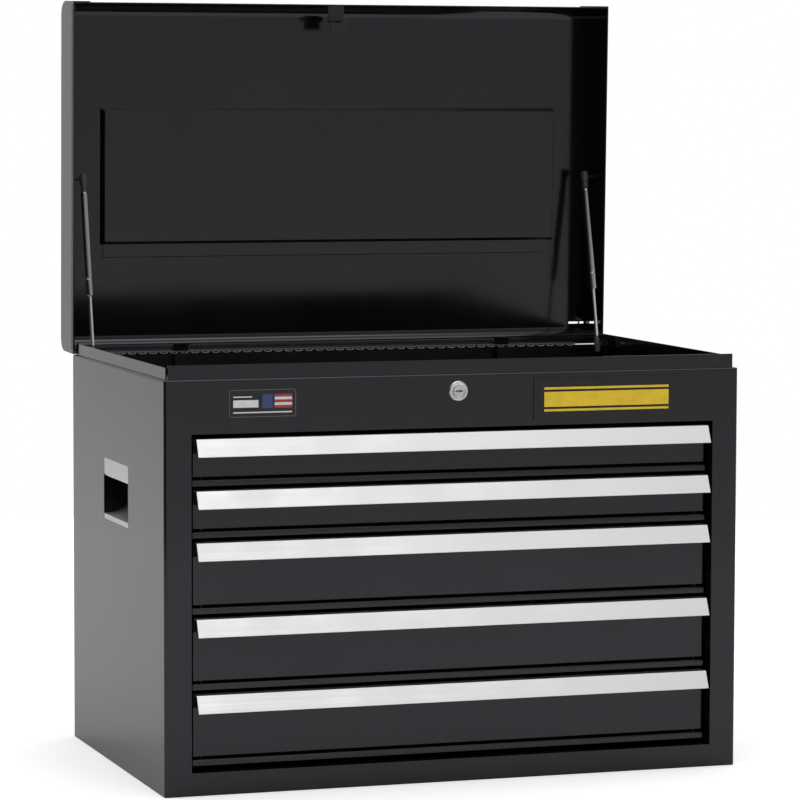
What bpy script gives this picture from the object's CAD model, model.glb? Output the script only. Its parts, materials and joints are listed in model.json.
import json
import math

import bpy
from mathutils import Matrix, Vector


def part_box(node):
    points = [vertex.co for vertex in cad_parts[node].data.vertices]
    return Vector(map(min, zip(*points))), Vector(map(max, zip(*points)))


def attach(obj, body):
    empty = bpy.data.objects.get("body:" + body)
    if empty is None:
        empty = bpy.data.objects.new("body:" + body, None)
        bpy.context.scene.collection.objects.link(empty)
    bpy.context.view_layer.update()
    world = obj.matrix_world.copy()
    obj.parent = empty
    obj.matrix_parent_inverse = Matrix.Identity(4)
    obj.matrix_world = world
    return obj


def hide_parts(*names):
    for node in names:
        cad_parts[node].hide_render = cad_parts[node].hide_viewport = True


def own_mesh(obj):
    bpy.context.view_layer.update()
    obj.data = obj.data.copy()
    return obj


# ---- camera ----


def set_camera():
    """A long lens, a little above the shoulder and to the left of the front."""
    turn = math.radians(-18.58)
    rise = math.radians(4.77)
    roll = math.radians(0.17)
    back = Vector((math.sin(turn) * math.cos(rise), -math.cos(turn) * math.cos(rise), math.sin(rise)))
    right = Vector((math.cos(turn), math.sin(turn), 0))
    up = back.cross(right)
    level_right = right * math.cos(roll) + up * math.sin(roll)
    level_up = up * math.cos(roll) - right * math.sin(roll)
    lens = bpy.data.cameras.new("camera")
    lens.lens = 169.91
    lens.sensor_width = 36
    lens.clip_end = 50
    camera = bpy.data.objects.new("camera", lens)
    bpy.context.scene.collection.objects.link(camera)
    axes = Matrix((level_right, level_up, back)).transposed().to_4x4()
    camera.matrix_world = Matrix.Translation((-1.3611, -4.0538, 0.7591)) @ axes
    bpy.context.scene.camera = camera


set_camera()
bpy.context.scene.view_settings.view_transform = "Standard"
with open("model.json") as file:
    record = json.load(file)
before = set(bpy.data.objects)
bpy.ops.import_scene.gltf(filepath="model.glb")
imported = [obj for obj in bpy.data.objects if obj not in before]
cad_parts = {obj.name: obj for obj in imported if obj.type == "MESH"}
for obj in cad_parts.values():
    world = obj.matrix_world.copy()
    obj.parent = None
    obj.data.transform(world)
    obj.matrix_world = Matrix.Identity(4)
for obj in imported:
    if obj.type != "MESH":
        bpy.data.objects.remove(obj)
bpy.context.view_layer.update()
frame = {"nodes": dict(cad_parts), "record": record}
bodies = frame["record"]["behaviour"]["bodies"]
body_of = {node: body for body, nodes in bodies.items() for node in nodes}
slot_of = {part["node"]: part["material_slot"] for part in frame["record"]["subparts"]}

# ---- places, in metres ----

FRONT = -0.203
BACK = 0.203
SHOULDER = 0.447
HALF_WIDTH = 0.33
SHEET = 0.001
LID_OPEN = math.radians(88.66)
LOCK_HEIGHT = 0.4284
KNUCKLE_PITCH = 0.0127
STRUT_X = 0.312
STRUT_FOOT = (BACK - 0.0255, SHOULDER - 0.0005)
LID_STUD = (0.2015, 0.025)
LIP_HEIGHT = 0.0068
LIP_FRONT = -0.192

# ---- studio ----


def add_node(tree, kind, **settings):
    node = tree.nodes.new(kind)
    for name, value in settings.items():
        setattr(node, name, value)
    return node


def ramp_between(tree, source, low, high, to_low, to_high):
    """A value that runs from to_low to to_high while the source runs from low to high."""
    node = add_node(tree, "ShaderNodeMapRange", clamp=True)
    tree.links.new(source, node.inputs["Value"])
    node.inputs["From Min"].default_value = low
    node.inputs["From Max"].default_value = high
    node.inputs["To Min"].default_value = to_low
    node.inputs["To Max"].default_value = to_high
    return node.outputs["Result"]


def add_math(tree, kind, first, second):
    node = add_node(tree, "ShaderNodeMath", operation=kind)
    for socket, value in zip(node.inputs, (first, second)):
        if isinstance(value, (int, float)):
            socket.default_value = value
        else:
            tree.links.new(value, socket)
    return node.outputs["Value"]


def add_background(tree, strength):
    node = add_node(tree, "ShaderNodeBackground")
    node.inputs["Color"].default_value = (1, 1, 1, 1)
    if isinstance(strength, (int, float)):
        node.inputs["Strength"].default_value = strength
    else:
        tree.links.new(strength, node.inputs["Strength"])
    return node.outputs["Background"]


def mix_shaders(tree, share, first, second):
    node = add_node(tree, "ShaderNodeMixShader")
    tree.links.new(share, node.inputs[0])
    tree.links.new(first, node.inputs[1])
    tree.links.new(second, node.inputs[2])
    return node.outputs[0]


def light_studio():
    """A pale wall that darkens upwards, a large lamp overhead, a dark screen on the left and a soft sun."""
    world = bpy.data.worlds.new("studio")
    bpy.context.scene.world = world
    world.use_nodes = True
    tree = world.node_tree
    tree.nodes.clear()
    place = add_node(tree, "ShaderNodeTexCoord")
    split = add_node(tree, "ShaderNodeSeparateXYZ")
    tree.links.new(place.outputs["Generated"], split.inputs[0])
    across, deep, height = split.outputs[:3]
    wall = ramp_between(tree, height, 0.1, 0.34, 0.52, 0.36)
    ground = ramp_between(tree, height, -0.16, -0.06, 0.3, 0.0)
    rear = ramp_between(tree, deep, -0.2, 0.1, 0.0, 0.12)
    room = add_math(tree, "ADD", add_math(tree, "ADD", wall, ground), rear)
    behind = ramp_between(tree, deep, -0.05, 0.25, 0.0, 0.45)
    screen_side = ramp_between(tree, add_math(tree, "ADD", across, behind), 0.12, -0.45, 0.0, 1.0)
    screen_top = ramp_between(tree, height, 0.45, 0.3, 0.0, 1.0)
    screen_strength = 0.97
    screen = add_math(tree, "MULTIPLY", screen_side, screen_top)
    open_share = add_math(tree, "SUBTRACT", 1.0, add_math(tree, "MULTIPLY", screen, screen_strength))
    lamp_edge = ramp_between(tree, height, 0.55, 0.8, 0.0, 0.45)
    lamp_middle = ramp_between(tree, height, 0.83, 0.98, 0.0, 1.7)
    overhead = add_math(tree, "ADD", lamp_edge, lamp_middle)
    room = add_math(tree, "ADD", add_math(tree, "MULTIPLY", room, open_share), overhead)
    path = add_node(tree, "ShaderNodeLightPath")
    seen = add_math(tree, "MAXIMUM", path.outputs["Is Camera Ray"], path.outputs["Is Transmission Ray"])
    whole = mix_shaders(tree, seen, add_background(tree, room), add_background(tree, 1.0))
    out = add_node(tree, "ShaderNodeOutputWorld")
    tree.links.new(whole, out.inputs["Surface"])

    sun = bpy.data.lights.new("key", "SUN")
    sun.energy = 0.11
    sun.angle = math.radians(14)
    key = bpy.data.objects.new("key", sun)
    bpy.context.scene.collection.objects.link(key)
    turn = math.radians(17)
    rise = math.radians(40)
    towards = Vector((math.sin(turn), -math.cos(turn), math.tan(rise)))
    key.rotation_euler = towards.to_track_quat("Z", "Y").to_euler()


def lay_floor():
    """A plain white floor that keeps the chest's soft shadow."""
    bpy.ops.mesh.primitive_circle_add(vertices=96, radius=2.4, fill_type="NGON", location=(0, 0, -0.0002))
    floor = bpy.context.object
    floor.name = "floor"
    material = bpy.data.materials.new("floor")
    material.use_nodes = True
    tree = material.node_tree
    tree.nodes.clear()
    cover = add_node(tree, "ShaderNodeBsdfDiffuse")
    glow = add_node(tree, "ShaderNodeEmission")
    path = add_node(tree, "ShaderNodeLightPath")
    cover.inputs["Color"].default_value = (0.85, 0.85, 0.85, 1)
    seen_glow = 0.4
    lift = add_math(tree, "MULTIPLY", path.outputs["Is Camera Ray"], seen_glow)
    tree.links.new(lift, glow.inputs["Strength"])
    both = add_node(tree, "ShaderNodeAddShader")
    tree.links.new(cover.outputs[0], both.inputs[0])
    tree.links.new(glow.outputs[0], both.inputs[1])
    out = add_node(tree, "ShaderNodeOutputMaterial")
    tree.links.new(both.outputs[0], out.inputs["Surface"])
    floor.data.materials.append(material)


# ---- finishes ----


def new_group(name, outputs, inputs=()):
    tree = bpy.data.node_groups.new(name, "ShaderNodeTree")
    for label, kind, value in inputs:
        socket = tree.interface.new_socket(label, in_out="INPUT", socket_type=kind)
        socket.default_value = value
    for label, kind in outputs:
        tree.interface.new_socket(label, in_out="OUTPUT", socket_type=kind)
    start = add_node(tree, "NodeGroupInput")
    end = add_node(tree, "NodeGroupOutput")
    return tree, start, end


def noise_at(tree, vector, scale, detail=2.0):
    node = add_node(tree, "ShaderNodeTexNoise")
    node.inputs["Scale"].default_value = scale
    node.inputs["Detail"].default_value = detail
    tree.links.new(vector, node.inputs["Vector"])
    return node.outputs["Fac"]


SURFACE_OUTPUTS = [
    ("Height", "NodeSocketFloat"),
    ("Roughness", "NodeSocketFloat"),
    ("Shade", "NodeSocketFloat"),
]


def paint_skin_group():
    """Orange peel of sprayed paint, faint dust and the unevenness of its gloss."""
    tree, start, end = new_group("paint skin", SURFACE_OUTPUTS, [("Gloss", "NodeSocketFloat", 0.3)])
    place = add_node(tree, "ShaderNodeTexCoord").outputs["Object"]
    peel = noise_at(tree, place, 520.0)
    broad = noise_at(tree, place, 9.0, 3.0)
    fine = noise_at(tree, place, 90.0, 4.0)
    specks = ramp_between(tree, noise_at(tree, place, 1400.0, 1.0), 0.7, 0.78, 0.0, 0.5)
    tree.links.new(peel, end.inputs["Height"])
    spread = ramp_between(tree, broad, 0.3, 0.7, -0.03, 0.03)
    rough = add_math(tree, "ADD", start.outputs["Gloss"], spread)
    tree.links.new(rough, end.inputs["Roughness"])
    shade = add_math(tree, "ADD", ramp_between(tree, fine, 0.3, 0.7, 0.92, 1.08), specks)
    tree.links.new(shade, end.inputs["Shade"])
    return tree


def drawn_metal_group():
    """Fine lines left along a drawn or rolled metal section."""
    tree, start, end = new_group(
        "drawn metal",
        SURFACE_OUTPUTS,
        [("Gloss", "NodeSocketFloat", 0.3), ("Stretch", "NodeSocketVector", (2.0, 900.0, 900.0))],
    )
    place = add_node(tree, "ShaderNodeTexCoord").outputs["Object"]
    scaled = add_node(tree, "ShaderNodeVectorMath", operation="MULTIPLY")
    tree.links.new(place, scaled.inputs[0])
    tree.links.new(start.outputs["Stretch"], scaled.inputs[1])
    lines = noise_at(tree, scaled.outputs[0], 1.0, 3.0)
    blotch = noise_at(tree, place, 22.0, 3.0)
    tree.links.new(lines, end.inputs["Height"])
    both = add_math(tree, "ADD", lines, blotch)
    rough = add_math(tree, "ADD", start.outputs["Gloss"], ramp_between(tree, both, 0.7, 1.3, -0.05, 0.05))
    tree.links.new(rough, end.inputs["Roughness"])
    tree.links.new(ramp_between(tree, both, 0.7, 1.3, 0.94, 1.03), end.inputs["Shade"])
    return tree


def zinc_group():
    """Soft cloudy patches of a plated surface."""
    tree, start, end = new_group("zinc", SURFACE_OUTPUTS, [("Gloss", "NodeSocketFloat", 0.35)])
    place = add_node(tree, "ShaderNodeTexCoord").outputs["Object"]
    cells = add_node(tree, "ShaderNodeTexVoronoi")
    cells.inputs["Scale"].default_value = 160.0
    tree.links.new(place, cells.inputs["Vector"])
    cloud = noise_at(tree, place, 60.0, 4.0)
    both = add_math(tree, "ADD", cells.outputs["Distance"], cloud)
    tree.links.new(cloud, end.inputs["Height"])
    rough = add_math(tree, "ADD", start.outputs["Gloss"], ramp_between(tree, both, 0.6, 1.4, -0.07, 0.09))
    tree.links.new(rough, end.inputs["Roughness"])
    tree.links.new(ramp_between(tree, both, 0.6, 1.4, 1.04, 0.86), end.inputs["Shade"])
    return tree


def make_finish(name, colour, group, metallic=0.0, gloss=0.3, bump=0.00002, stretch=None, sheen=None):
    """A finish whose shade, gloss and relief come from one of the shared surface effects."""
    material = bpy.data.materials.new(name)
    material.use_nodes = True
    tree = material.node_tree
    shader = tree.nodes["Principled BSDF"]
    shader.inputs["Metallic"].default_value = metallic
    if sheen:
        shader.inputs["Specular Tint"].default_value = (*sheen, 1)
        shader.inputs["Specular IOR Level"].default_value = 0.54
    surface = add_node(tree, "ShaderNodeGroup")
    surface.node_tree = group
    surface.inputs["Gloss"].default_value = gloss
    if stretch:
        surface.inputs["Stretch"].default_value = stretch
    tint = add_node(tree, "ShaderNodeVectorMath", operation="SCALE")
    tint.inputs[0].default_value = colour
    tree.links.new(surface.outputs["Shade"], tint.inputs["Scale"])
    tree.links.new(tint.outputs[0], shader.inputs["Base Color"])
    tree.links.new(surface.outputs["Roughness"], shader.inputs["Roughness"])
    relief = add_node(tree, "ShaderNodeBump")
    relief.inputs["Strength"].default_value = 0.35
    relief.inputs["Distance"].default_value = bump
    tree.links.new(surface.outputs["Height"], relief.inputs["Height"])
    tree.links.new(relief.outputs["Normal"], shader.inputs["Normal"])
    material.diffuse_color = (*colour, 1)
    return material


paint_skin = paint_skin_group()
drawn_metal = drawn_metal_group()
zinc = zinc_group()

# The paint's reflections are slightly cool.
COOL = (0.93, 0.9, 1.0)

finish = {
    "black_paint": make_finish("black paint", (0.0062, 0.006, 0.0072), paint_skin, gloss=0.12, sheen=COOL),
    "pull_aluminium": make_finish("satin aluminium", (0.82, 0.82, 0.815), drawn_metal, 1.0, 0.36, 0.00001),
    "liner_bright": make_finish("bright strip", (0.72, 0.73, 0.73), drawn_metal, 1.0, 0.42, 0.00001,
                                stretch=(900.0, 2.0, 900.0)),
    "zinc_steel": make_finish("zinc plate", (0.5, 0.51, 0.52), zinc, 1.0, 0.36, 0.00001),
    "bright_nickel": make_finish("nickel plate", (0.74, 0.73, 0.715), zinc, 1.0, 0.42, 0.000005),
    "grey_steel": make_finish("oiled steel", (0.03, 0.03, 0.032), zinc, 1.0, 0.45, 0.00001),
    "hinge_black": make_finish("blackened steel", (0.007, 0.007, 0.008), paint_skin, gloss=0.24,
                               bump=0.000004),
    "plate_black": make_finish("black plate", (0.0052, 0.005, 0.0052), paint_skin, gloss=0.16),
    "label_print": make_finish("label film", (0.008, 0.008, 0.009), paint_skin, gloss=0.2),
    "strut_black": make_finish("strut tube", (0.5, 0.5, 0.505), drawn_metal, 1.0, 0.14, 0.000003,
                               stretch=(900.0, 900.0, 2.0)),
    "rod_bright": make_finish("polished rod", (0.95, 0.95, 0.95), drawn_metal, 1.0, 0.2, 0.000003,
                              stretch=(900.0, 900.0, 2.0)),
    "strut_end_grey": make_finish("dark plastic", (0.06, 0.06, 0.062), paint_skin, gloss=0.35),
}
print_finish = {
    "pale_edge": make_finish("sheared edges", (0.5, 0.5, 0.5), zinc, 0.3, 0.45, 0.000004),
    "yellow": make_finish("yellow print", (0.9, 0.62, 0.02), paint_skin, gloss=0.4),
    "white": make_finish("white print", (0.78, 0.78, 0.8), paint_skin, gloss=0.4),
    "border": make_finish("grey print", (0.12, 0.12, 0.12), paint_skin, gloss=0.4),
    "red": make_finish("red print", (0.42, 0.03, 0.04), paint_skin, gloss=0.4),
    "blue": make_finish("blue print", (0.05, 0.06, 0.22), paint_skin, gloss=0.4),
}

# ---- ways of working ----


def take(*pieces):
    """Selects only these pieces, the first one active."""
    for thing in list(bpy.context.selected_objects):
        thing.select_set(False)
    for piece in pieces:
        piece.select_set(True)
    bpy.context.view_layer.objects.active = pieces[0]


def work(piece, *steps):
    """Runs some steps on all of a piece's mesh."""
    take(piece)
    bpy.ops.object.mode_set(mode="EDIT")
    bpy.ops.mesh.select_all(action="SELECT")
    for step, settings in steps:
        step(**settings)
    bpy.ops.object.mode_set(mode="OBJECT")


def apply_all(piece):
    take(piece)
    for modifier in list(piece.modifiers):
        bpy.ops.object.modifier_apply(modifier=modifier.name)


def tidy_mesh(piece, angle=0.5):
    """Closes a mesh of loose triangles and makes its flats whole."""
    work(
        piece,
        (bpy.ops.mesh.remove_doubles, {"threshold": 0.00001}),
        (bpy.ops.mesh.dissolve_limited, {"angle_limit": math.radians(angle)}),
    )


def copy_of(node, name):
    """A merged copy of a solid, with whole flat faces."""
    piece = bpy.data.objects.new(name, frame["nodes"][node].data.copy())
    bpy.context.scene.collection.objects.link(piece)
    piece.data.materials.clear()
    take(piece)
    bpy.ops.mesh.customdata_custom_splitnormals_clear()
    tidy_mesh(piece)
    return piece


def weld_together(pieces):
    """Makes one sheet of several that meet edge to edge."""
    whole = pieces[0]
    for part in pieces[1:]:
        union = whole.modifiers.new("weld", "BOOLEAN")
        union.operation = "UNION"
        union.solver = "EXACT"
        union.object = part
        apply_all(whole)
        bpy.data.objects.remove(part)
    tidy_mesh(whole)
    return whole


def bevel_edges(piece, width, segments, inside):
    """Rounds the edges whose two ends both pass a test."""
    take(piece)
    bpy.ops.object.mode_set(mode="EDIT")
    bpy.ops.mesh.select_mode(type="EDGE")
    bpy.ops.mesh.select_all(action="DESELECT")
    bpy.ops.object.mode_set(mode="OBJECT")
    points = piece.data.vertices
    for edge in piece.data.edges:
        edge.select = all(inside(points[i].co) for i in edge.vertices)
    bpy.ops.object.mode_set(mode="EDIT")
    bpy.ops.mesh.bevel(offset=width, segments=segments, affect="EDGES", clamp_overlap=True)
    bpy.ops.mesh.select_mode(type="VERT")
    bpy.ops.object.mode_set(mode="OBJECT")


def soften(piece, width, segments=2, angle=30):
    """Breaks the edges of a piece and keeps its flats flat."""
    bevel = piece.modifiers.new("edges", "BEVEL")
    bevel.width = width
    bevel.segments = segments
    bevel.limit_method = "ANGLE"
    bevel.angle_limit = math.radians(angle)
    bevel.use_clamp_overlap = True
    apply_all(piece)
    smooth(piece)


def smooth(piece, angle=38):
    take(piece)
    bpy.ops.object.shade_smooth_by_angle(angle=math.radians(angle))
    flats = piece.modifiers.new("flats", "WEIGHTED_NORMAL")
    flats.keep_sharp = True
    apply_all(piece)


def lathe(name, outline, place=None, steps=36):
    """Turns an outline of (radius, height) points round the Z axis, then puts it in its place."""
    bpy.ops.mesh.primitive_plane_add(size=0.01)
    piece = bpy.context.object
    piece.name = name
    take(piece)
    bpy.ops.object.mode_set(mode="EDIT")
    bpy.ops.mesh.select_all(action="SELECT")
    bpy.ops.mesh.merge(type="CENTER")
    last = Vector((outline[0][0], 0, outline[0][1]))
    bpy.ops.transform.translate(value=last)
    for radius, height in outline[1:]:
        point = Vector((radius, 0, height))
        bpy.ops.mesh.extrude_region_move(TRANSFORM_OT_translate={"value": point - last})
        last = point
    bpy.ops.mesh.select_all(action="SELECT")
    bpy.ops.mesh.spin(steps=steps, angle=math.tau, center=(0, 0, 0), axis=(0, 0, 1))
    bpy.ops.mesh.select_all(action="SELECT")
    bpy.ops.mesh.remove_doubles(threshold=0.000002)
    bpy.ops.mesh.select_all(action="SELECT")
    bpy.ops.mesh.normals_make_consistent(inside=False)
    bpy.ops.object.mode_set(mode="OBJECT")
    if place:
        put(piece, place)
    return piece


def put(piece, place):
    """Moves a piece to its place and leaves the move in its mesh."""
    piece.matrix_world = place
    take(piece)
    bpy.ops.object.transform_apply(location=True, rotation=True, scale=True)
    if place.determinant() < 0:
        work(piece, (bpy.ops.mesh.normals_make_consistent, {"inside": False}))


def twin(piece, name, place=None):
    """A copy of a piece with its own mesh."""
    other = piece.copy()
    other.data = piece.data.copy()
    other.name = name
    bpy.context.scene.collection.objects.link(other)
    if place:
        put(other, place)
    return other


def join(name, pieces):
    take(*pieces)
    bpy.ops.object.join()
    pieces[0].name = name
    return pieces[0]


def plate(name, low, high, bevel=0.0001, segments=2):
    """A thin flat plate between two corners, with broken edges."""
    middle = [(a + b) / 2 for a, b in zip(low, high)]
    bpy.ops.mesh.primitive_cube_add(size=1, location=middle)
    piece = bpy.context.object
    piece.name = name
    piece.scale = [b - a for a, b in zip(low, high)]
    take(piece)
    bpy.ops.object.transform_apply(location=True, rotation=True, scale=True)
    soften(piece, bevel, segments)
    return piece


def settle(piece, *nodes, slot=None, body=None, look=None):
    """Gives a finished piece its finish, the body it moves with and the solids it stands for."""
    slot = slot or slot_of[nodes[0]]
    piece.data.materials.clear()
    piece.data.materials.append(look or finish[slot])
    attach(piece, body or body_of[nodes[0]])
    if nodes:
        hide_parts(*nodes)
    return piece


def dress(node, width, segments=2):
    """A node's own form with its edges broken."""
    piece = copy_of(node, node + "_dressed")
    soften(piece, width, segments)
    return settle(piece, node)


MIRROR = Matrix.Scale(-1, 4, (1, 0, 0))


def on_lid(a, b, x=0.0):
    """A point of the lid, a from the hinge and b above the lid's edge, with the lid open."""
    y = BACK - a * math.cos(LID_OPEN) + b * math.sin(LID_OPEN)
    z = SHOULDER + a * math.sin(LID_OPEN) + b * math.cos(LID_OPEN)
    return Vector((x, y, z))


# ---- case ----


def make_case():
    """The painted shell, with its sides and front frame in one, and the sheets and fittings inside it."""
    nodes = ["left_side_panel", "right_side_panel", "front_fascia", "stiles"]
    shell = weld_together([copy_of(node, node + "_sheet") for node in nodes])
    shell.name = "case_shell"
    soften(shell, 0.0004, 2)
    settle(shell, *nodes)
    dress("bottom_rail", 0.00025)
    for node in ["bottom_pan", "till_floor", "slide_uprights"]:
        dress(node, 0.0003)
    back = copy_of("back_panel", "back_sheet")
    soften(back, 0.0003)
    # Two narrow plates close the gaps beside the hinge.
    beside_hinge = [(-0.3265, -0.2925), (0.2925, 0.3265)]
    low = SHOULDER - 0.0045
    high = SHOULDER - 0.0004
    ends = [
        plate("end_%d" % i, (x0, BACK - SHEET, low), (x1, BACK, high), 0.0001, 1)
        for i, (x0, x1) in enumerate(beside_hinge)
    ]
    settle(join("back_sheet", [back, *ends]), "back_panel")
    for node in ["slide_channels", "strut_brackets", "bar_guides"]:
        dress(node, 0.0002)
    dress("hand_hole_liners", 0.0003)


def make_plates():
    """The name plate with a plain yellow band, and the small label with plain bars."""
    dress("name_plate", 0.0003)
    plate_thickness = 0.001
    face = FRONT - plate_thickness
    left, right = 0.0995, 0.2463
    bands = [(0.4085, 0.4250), (0.4035, 0.4060), (0.4275, 0.4300)]
    stripes = [
        plate("band_%d" % i, (left, face - 0.00012, low), (right, face + 0.0001, high), 0.00005, 1)
        for i, (low, high) in enumerate(bands)
    ]
    settle(join("name_plate_bands", stripes), slot="plate_black", body="case", look=print_finish["yellow"])

    dress("small_label", 0.00012)
    film_thickness = 0.0004
    face = FRONT - film_thickness
    x0, x1, z0, z1 = -0.2585, -0.1842, 0.4057, 0.4351

    def print_area(name, look, areas):
        bars = [
            plate("%s_%d" % (name, i), (a, face - 0.00006, c), (b, face + 0.00005, d), 0.00003, 1)
            for i, (a, b, c, d) in enumerate(areas)
        ]
        settle(join(name, bars), slot="label_print", body="case", look=print_finish[look])

    edge = 0.0007
    print_area("label_border", "border", [
        (x0, x1, z1 - edge, z1),
        (x0, x1, z0, z0 + edge),
        (x0, x0 + edge, z0, z1),
        (x1 - edge, x1, z0, z1),
    ])
    print_area("label_bars", "white", [
        (-0.2540, -0.2260, 0.4160, 0.4240),
        (-0.2540, -0.2330, 0.4268, 0.4280),
        (-0.2540, -0.1885, 0.4100, 0.4114),
        (-0.2080, -0.1885, 0.4180, 0.4210),
        (-0.2080, -0.1885, 0.4240, 0.4270),
    ])
    red_height = 0.0028
    print_area("label_red_field", "red", [
        (-0.2080, -0.1885, low, low + red_height) for low in (0.4151, 0.4211, 0.4271)
    ])
    print_area("label_blue_field", "blue", [(-0.2215, -0.2100, 0.4150, 0.4300)])


def make_lock():
    """The lock's domed collar on its barrel, the fixing nut, the plug with its keyway and the cam."""
    along = Matrix.Translation((0, FRONT, LOCK_HEIGHT)) @ Matrix.Rotation(math.radians(90), 4, "X")
    housing = lathe("lock_housing_turned", [
        (0.00605, -0.0139), (0.0094, -0.0139), (0.0095, -0.0138), (0.0095, 0.0),
        (0.0109, 0.0), (0.011, 0.0002), (0.0109, 0.0009), (0.0104, 0.0017), (0.0097, 0.0021),
        (0.0090, 0.0022), (0.0078, 0.0020), (0.0070, 0.0016), (0.00625, 0.0014), (0.00605, 0.0012),
        (0.00605, -0.0139),
    ], along, 64)
    smooth(housing, 40)
    settle(housing, "lock_housing")
    dress("lock_nut", 0.0004)
    for node in ["lock_plug", "lock_cam", "cam_nut"]:
        dress(node, 0.0003)


# ---- lid ----


def make_lid():
    """The bent lid sheet with softly pressed creases, its two hemmed ends and what is fixed inside."""
    skin = copy_of("lid_skin", "lid_sheet")
    soften(skin, 0.0004, 2, 14)
    settle(skin, "lid_skin")
    hinged = Matrix.Translation((0, BACK, SHOULDER)) @ Matrix.Rotation(-LID_OPEN, 4, "X")
    hem_width = 0.0023
    hem_rear, hem_front = -0.0040, -0.4045
    hem_low, hem_high = 0.0005, 0.0100
    inner = HALF_WIDTH - hem_width
    for side, x0, x1 in (("left", -HALF_WIDTH, -inner), ("right", inner, HALF_WIDTH)):
        end = copy_of("lid_" + side + "_end", "lid_" + side + "_end_dressed")
        soften(end, 0.0004)
        hem = plate("hem", (x0, hem_front, hem_low), (x1, hem_rear, hem_high), 0.0011, 4)
        put(hem, hinged)
        settle(join("lid_" + side + "_end_dressed", [end, hem]), "lid_" + side + "_end")
    for node in ["lid_strike", "bar_pressers"]:
        dress(node, 0.0003)
    dress("strike_rivets", 0.0006, 3)


def make_hinge():
    """The piano hinge: rolled knuckles on two leaves, the pin through them and the bowed knuckle edges."""
    low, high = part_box("hinge_pin")
    leaf = copy_of("hinge_case_leaf", "hinge_case_leaf_dressed")
    soften(leaf, 0.0004)
    # The ledge closes the gap under the lid's knuckles.
    ledge = plate(
        "ledge",
        (low[0], BACK - 0.0022, SHOULDER - 0.0040),
        (high[0], BACK - 0.0018, SHOULDER - 0.0027),
        0.00004,
        1,
    )
    settle(join("hinge_case_leaf_dressed", [leaf, ledge]), "hinge_case_leaf")
    dress("hinge_lid_leaf", 0.0004)
    dress("hinge_pin", 0.0003)
    count = round((high[0] - low[0]) / KNUCKLE_PITCH)
    edge_thickness = 0.0009
    bow_radius = 0.0042
    flattened = (1.0, 0.35, 0.36, 1.0)
    bpy.ops.mesh.primitive_circle_add(
        vertices=8, radius=edge_thickness, fill_type="NGON", location=(bow_radius, 0, 0),
    )
    edge = bpy.context.object
    take(edge)
    bpy.ops.object.transform_apply(location=True, rotation=True, scale=True)
    bow = edge.modifiers.new("bow", "SCREW")
    bow.axis = "Y"
    bow.angle = math.radians(180)
    bow.steps = 10
    bow.render_steps = 10
    apply_all(edge)
    work(edge, (bpy.ops.mesh.normals_make_consistent, {"inside": False}))
    bows_upwards = max(point.co.z for point in edge.data.vertices) > bow_radius / 2
    if bows_upwards:
        put(edge, Matrix.Rotation(math.radians(180), 4, "Y"))
    put(edge, Matrix.Diagonal(flattened))
    smooth(edge, 60)
    edges = []
    for i in range(count):
        middle = low[0] + (i + 0.5) * KNUCKLE_PITCH
        place = Matrix.Translation((middle, BACK - 0.0031, SHOULDER + 0.0004))
        edges.append(twin(edge, "knuckle_edge_%d" % i, place))
    bpy.data.objects.remove(edge)
    settle(join("knuckle_edges", edges), slot="zinc_steel", body="case", look=print_finish["pale_edge"])


# ---- struts ----


def strut_place(side):
    """The strut's own axis, which runs along +Z from the lower stud."""
    foot = Vector((STRUT_X, *STRUT_FOOT))
    head = on_lid(*LID_STUD, STRUT_X)
    run = head - foot
    turn = math.atan2(run.z, run.y) - math.radians(90)
    place = Matrix.Translation(foot) @ Matrix.Rotation(turn, 4, "X")
    if side == "left":
        place = MIRROR @ place
    return place, run.length


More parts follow.
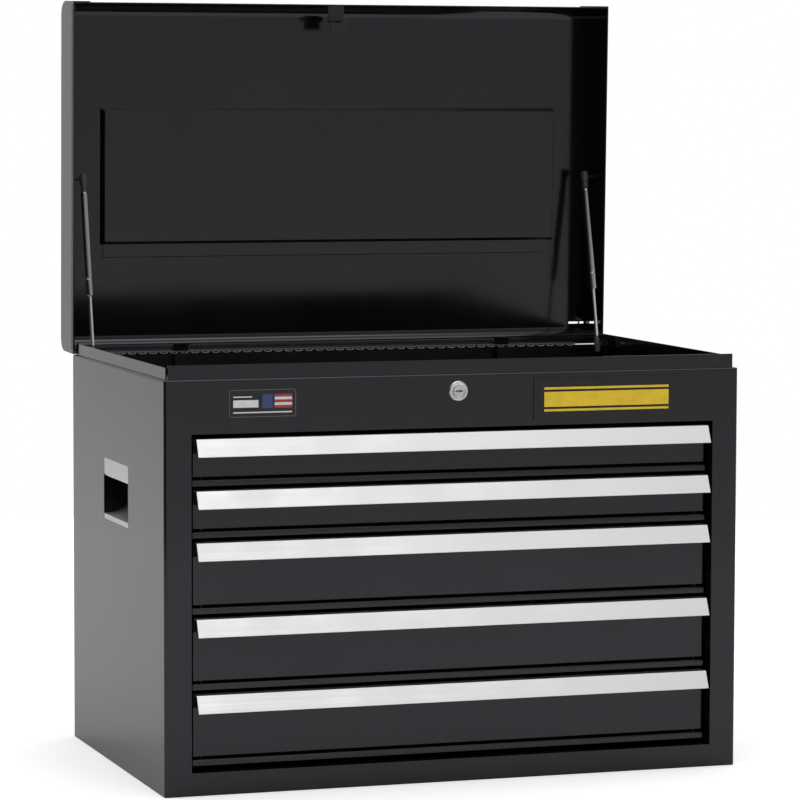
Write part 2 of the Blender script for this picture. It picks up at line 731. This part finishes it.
def make_struts():
    """Gas struts: tube with a crimped mouth, bright rod, ball eye and lower socket, and the lid's studs."""
    for side in ("left", "right"):
        place, length = strut_place(side)
        eye_length = 0.0155
        mouth = 0.0697
        crimp = mouth + 0.02
        top = length - eye_length
        tube = lathe(side + "_tube_turned", [
            (0.0021, mouth), (0.0034, mouth), (0.0040, mouth + 0.0006), (0.0040, crimp - 0.0012),
            (0.0037, crimp - 0.0007), (0.00355, crimp), (0.0037, crimp + 0.0007), (0.0040, crimp + 0.0012),
            (0.0040, top - 0.0016), (0.0037, top - 0.0006), (0.0032, top), (0.0, top),
        ], place, 40)
        smooth(tube, 50)
        settle(tube, side + "_strut_tube")
        eye = lathe(side + "_eye_turned", [
            (0.0, top), (0.0034, top), (0.0036, top + 0.0003), (0.0036, top + 0.0018),
            (0.0030, top + 0.0022), (0.0030, top + 0.0030), (0.0035, top + 0.0034),
            (0.0036, top + 0.0062), (0.0034, top + 0.0090),
            (0.0041, top + 0.0096), (0.0045, top + 0.0104), (0.0045, top + 0.0200), (0.0042, top + 0.0210),
            (0.0034, top + 0.0214), (0.0, top + 0.0215),
        ], place, 40)
        smooth(eye, 35)
        settle(eye, side + "_strut_eye")
        rod = lathe(side + "_rod_turned", [
            (0.0, 0.012), (0.0019, 0.012), (0.0020, 0.0122), (0.0020, mouth + 0.044),
            (0.0031, mouth + 0.044), (0.0031, mouth + 0.05), (0.0, mouth + 0.05),
        ], place, 28)
        smooth(rod, 40)
        settle(rod, side + "_strut_rod")
        socket = lathe(side + "_socket_turned", [
            (0.0, -0.008), (0.0028, -0.008), (0.0034, -0.0076), (0.0036, -0.0068), (0.0036, 0.0058),
            (0.0034, 0.0064), (0.0029, 0.0072), (0.0027, 0.0110), (0.0024, 0.0119), (0.0020, 0.012),
            (0.0, 0.012),
        ], place, 36)
        smooth(socket, 35)
        settle(socket, side + "_strut_socket")
    head = on_lid(*LID_STUD, STRUT_X)
    across = Matrix.Translation(head) @ Matrix.Rotation(math.radians(90), 4, "Y")
    ball = 0.003
    arc_step = 17.5
    outline = [(0.0, -ball)]
    for step in range(1, 9):
        angle = math.radians(-90 + step * arc_step)
        outline.append((ball * math.cos(angle), ball * math.sin(angle)))
    wall = 0.0168
    outline += [
        (0.0015, 0.0032), (0.0015, wall - 0.0020), (0.0020, wall - 0.0015), (0.0042, wall - 0.0015),
        (0.0045, wall - 0.0012), (0.0045, wall), (0.0, wall),
    ]
    right = lathe("right_stud", outline, across, 32)
    smooth(right, 40)
    left = twin(right, "left_stud", MIRROR)
    settle(join("lid_studs_turned", [right, left]), "lid_ball_studs")


# ---- lock bars ----


def make_lock_bars():
    """The two bars with their hooks, and a coil spring under each."""
    for side in ("left", "right"):
        dress(side + "_lock_bar", 0.0003)
        dress(side + "_bar_hooks", 0.0003)
        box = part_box(side + "_bar_spring")
        low, high = Vector(box[0]), Vector(box[1])
        middle = (low + high) / 2
        wire = 0.0005
        coil_radius = 0.0045
        turns = 9
        bpy.ops.mesh.primitive_circle_add(
            vertices=10, radius=wire, fill_type="NGON",
            location=(coil_radius, 0, wire), rotation=(math.radians(90), 0, 0),
        )
        coil = bpy.context.object
        coil.name = side + "_coil"
        take(coil)
        bpy.ops.object.transform_apply(location=True, rotation=True, scale=True)
        wind = coil.modifiers.new("wind", "SCREW")
        wind.axis = "Z"
        wind.angle = math.tau
        wind.iterations = turns
        wind.screw_offset = (high.z - low.z - 2 * wire) / turns
        wind.steps = 24
        wind.render_steps = 24
        wind.use_merge_vertices = False
        apply_all(coil)
        work(coil, (bpy.ops.mesh.normals_make_consistent, {"inside": False}))
        put(coil, Matrix.Translation((middle.x, middle.y, low.z)))
        smooth(coil, 60)
        settle(coil, side + "_bar_spring", body="case")
        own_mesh(coil)
    dress("guide_rivets", 0.0006, 3)


# ---- drawers ----


def make_drawers():
    """Trays with a rolled lip, aluminium pulls and their runners."""
    for number in range(1, 6):
        node = "drawer_%d_" % number
        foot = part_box(node + "tray")[0][2]
        tray = copy_of(node + "tray", node + "tray_sheet")
        lip_top = foot + LIP_HEIGHT
        near = 0.0002

        def on_lip_edge(point):
            return abs(point.z - lip_top) < near and abs(point.y - LIP_FRONT) < near

        bevel_edges(tray, 0.0018, 4, on_lip_edge)
        soften(tray, 0.00025, 2)
        settle(tray, node + "tray")
        pull = copy_of(node + "pull", node + "pull_drawn")
        soften(pull, 0.0004, 3)
        settle(pull, node + "pull")
        dress(node + "runners", 0.0002)


light_studio()
lay_floor()
make_case()
make_plates()
make_lock()
make_lid()
make_hinge()
make_struts()
make_lock_bars()
make_drawers()
